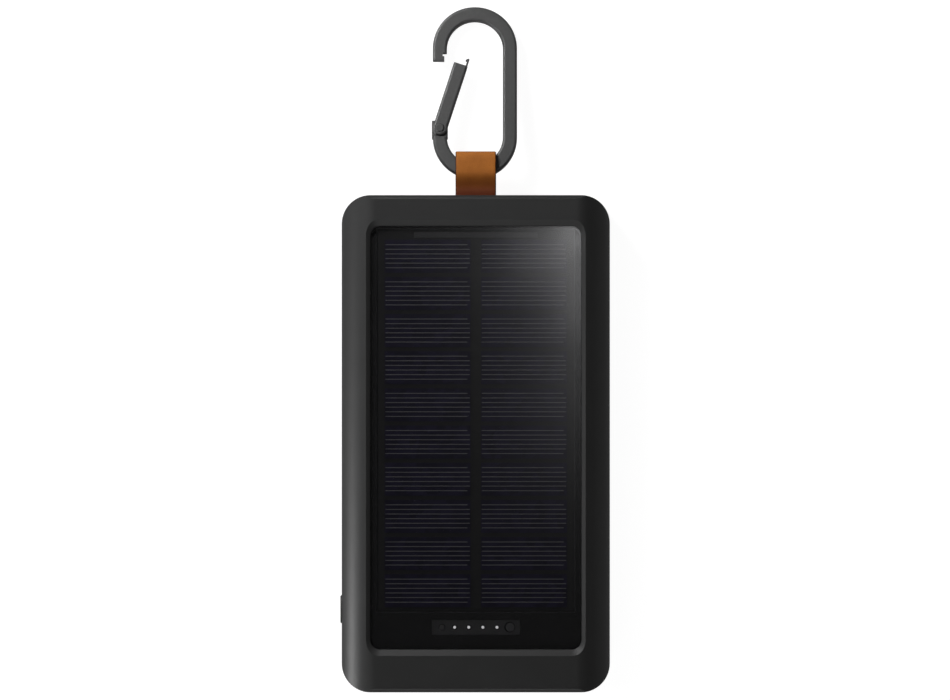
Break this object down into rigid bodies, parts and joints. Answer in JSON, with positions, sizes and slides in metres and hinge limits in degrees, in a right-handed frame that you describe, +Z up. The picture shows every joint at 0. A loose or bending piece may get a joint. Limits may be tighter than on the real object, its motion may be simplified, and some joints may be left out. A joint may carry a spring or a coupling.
{
  "type": "solar phone charger",
  "caption": "Flat power bank with a solar panel and status lights on its front, a side power button, a flap over the output sockets, and a leather strap loop that holds a carabiner.",
  "frame": {"origin": "centre of the rubber pad on the back, which the charger rests on", "axes": "+X across the width, with the power button on the -X side; +Y along the length towards the strap and the carabiner; +Z up, out of the solar panel"},
  "size_m": [0.0784, 0.1994, 0.021],
  "materials": {
    "shell_plastic": "fine matte mould texture",
    "button_plastic": "satin",
    "panel_cover": "polished, dark tint",
    "silicon": "dark blue-black cells with pale collector lines",
    "panel_board": "black solder mask",
    "copper": "tinned ribbon",
    "adhesive": "black foam tape",
    "clear_plastic": "clear acrylic",
    "circuit_board": "green solder mask",
    "led_body": "white moulded",
    "steel": "nickel plated",
    "black_plastic": "moulded",
    "capacitor_body": "ceramic",
    "connector_plastic": "moulded",
    "foil": "laminated pouch foil",
    "foam": "foam",
    "lead_red": "insulation",
    "lead_black": "insulation",
    "rubber": "moulded rubber",
    "leather": "smooth brown leather, cut edges",
    "carabiner_metal": "grey anodised, satin"
  },
  "bodies": {
    "case": {"front_shell": "shell_plastic", "rear_shell": "shell_plastic", "shell_gasket": "rubber", "shell_screws": "steel", "rear_grip_pad": "rubber", "cover_lens": "panel_cover", "lens_adhesive": "adhesive", "solar_backplane": "panel_board", "solar_cells": "silicon", "string_ribbon": "copper", "light_guide": "clear_plastic", "main_board": "circuit_board", "board_screws": "steel", "status_leds": "led_body", "usb_a_shells": "steel", "usb_a_tongues": "black_plastic", "usb_c_shell": "steel", "usb_c_tongue": "black_plastic", "tact_switch": "black_plastic", "power_inductor": "black_plastic", "boost_chip": "black_plastic", "controller_chip": "black_plastic", "filter_capacitors": "capacitor_body", "battery_connector": "connector_plastic", "battery_cell": "foil", "battery_foam": "foam", "protection_board": "circuit_board", "battery_tabs": "steel", "battery_lead_red": "lead_red", "battery_lead_black": "lead_black", "solar_lead_red": "lead_red", "solar_lead_black": "lead_black", "cover_tether": "rubber", "strap_root": "leather", "strap_pin": "steel"},
    "button": {"power_button": "button_plastic", "switch_plunger": "black_plastic"},
    "cover": {"port_cover": "rubber"},
    "strap": {"strap_loop": "leather"},
    "carabiner": {"carabiner_frame": "carabiner_metal", "gate_pin": "steel"},
    "gate": {"carabiner_gate": "carabiner_metal", "gate_plunger": "steel", "gate_spring": "steel"}
  },
  "joints": [
    {"name": "button_press", "type": "slide", "parent": "case", "child": "button", "axis": [1, 0, 0], "range_m": [0, 0.0004], "stiffness_N_per_m": 600},
    {"name": "cover_swing", "type": "hinge", "parent": "case", "child": "cover", "pos_m": [0, -0.0722, 0.01495], "axis": [-1, 0, 0], "range_deg": [0, 110]},
    {"name": "strap_flex", "type": "hinge", "parent": "case", "child": "strap", "pos_m": [0, 0.07385, 0.01075], "axis": [1, 0, 0], "range_deg": [-53, 72]},
    {"name": "carabiner_sway", "type": "hinge", "parent": "strap", "child": "carabiner", "pos_m": [-0.00025, 0.08912, 0.00814], "axis": [0, 0.1685, 0.9857], "range_deg": [-40, 40]},
    {"name": "gate_swing", "type": "hinge", "parent": "carabiner", "child": "gate", "pos_m": [-0.01045, 0.09165, 0.00771], "axis": [0, 0.1685, 0.9857], "range_deg": [-17, 17.9], "stiffness_Nm_per_rad": 0.01}
  ]
}
